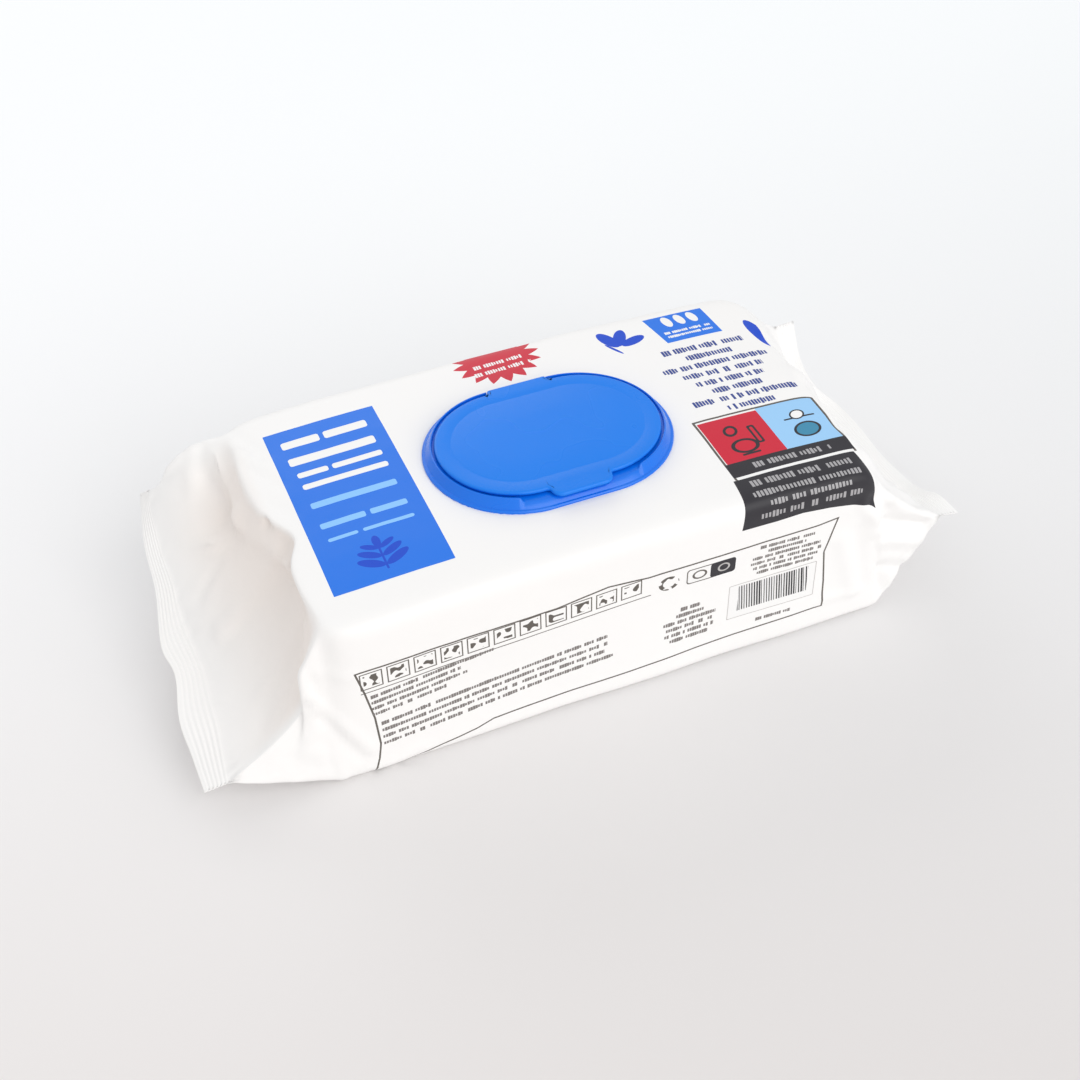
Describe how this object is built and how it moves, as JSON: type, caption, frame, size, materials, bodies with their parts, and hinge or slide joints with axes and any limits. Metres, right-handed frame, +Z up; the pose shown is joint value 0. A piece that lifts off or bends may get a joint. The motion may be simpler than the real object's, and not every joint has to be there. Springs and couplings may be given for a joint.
{
  "type": "wet wipes pack",
  "caption": "Sealed film pack of folded wet wipes, with crimped ends and a moulded flip-top lid glued on its top.",
  "frame": {"origin": "middle of the flat underside of the pack, without its end seals", "axes": "+X along the pack's length, +Z up through the lid; the lid's hinge is on the +Y side and its thumb tab on the -Y side"},
  "size_m": [0.274, 0.1147, 0.073],
  "materials": {
    "printed_film": "satin white polyethylene film, soft creases, plain printed colour fields",
    "lid_plastic": "blue moulded polypropylene, satin gloss",
    "peel_label": "thin pale label film"
  },
  "bodies": {
    "pack": {"film_pack": "printed_film", "lid_frame": "lid_plastic", "peel_seal": "peel_label"},
    "lid": {"lid_cover": "lid_plastic"}
  },
  "joints": [
    {"name": "lid_hinge", "type": "hinge", "parent": "pack", "child": "lid", "pos_m": [-0.0032, 0.026, 0.0714], "axis": [-1, 0, 0], "range_deg": [0, 120]}
  ]
}
